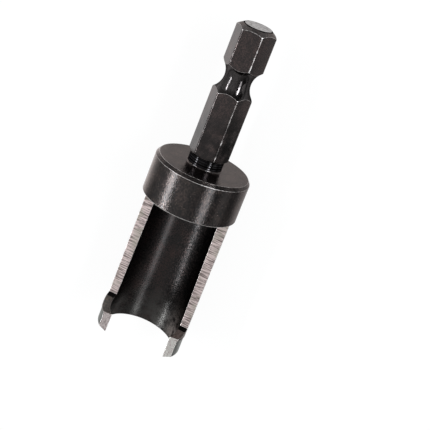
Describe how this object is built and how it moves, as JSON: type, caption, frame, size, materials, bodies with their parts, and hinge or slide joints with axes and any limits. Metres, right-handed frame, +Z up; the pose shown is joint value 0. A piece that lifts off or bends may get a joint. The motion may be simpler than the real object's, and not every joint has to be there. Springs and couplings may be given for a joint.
{
  "type": "plug cutter",
  "caption": "Tapered plug cutter with a hexagonal quick-change shank, a solid collar and a half-open bored barrel that ends in ground cutting teeth.",
  "frame": {"origin": "middle of the bounding box in plan, on the surface that the collar lies on", "axes": "+X along the tool's axis towards the shank's end, -X towards the cutting teeth, +Z up, the way the barrel's window opens"},
  "size_m": [0.0606, 0.017, 0.017],
  "materials": {
    "black_oxide_steel": "turned and milled steel, blackened with a glossy black oxide, ground bright along the edges of the window and on the tooth faces"
  },
  "bodies": {
    "root": {"plug_cutter": "black_oxide_steel"}
  },
  "joints": []
}
